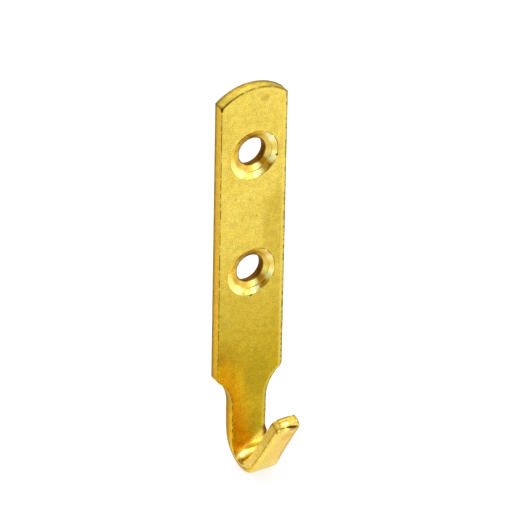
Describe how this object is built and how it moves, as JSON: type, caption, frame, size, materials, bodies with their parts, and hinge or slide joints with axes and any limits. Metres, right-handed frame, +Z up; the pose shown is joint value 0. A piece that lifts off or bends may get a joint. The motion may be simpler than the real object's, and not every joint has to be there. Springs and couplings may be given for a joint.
{
  "type": "picture hook",
  "caption": "Flat brass wall hook, stamped and bent from one strip, with an arched top, countersunk screw holes and an upturned tongue.",
  "frame": {"origin": "on the back face, midway between the two screw holes", "axes": "+Z up along the plate, -Y out of the wall towards the hook's tongue, +X to the right seen from the front"},
  "size_m": [0.0126, 0.0161, 0.0752],
  "materials": {
    "brass": "bright solid brass with a fine grain, not lacquered"
  },
  "bodies": {
    "root": {"picture_hook": "brass"}
  },
  "joints": []
}
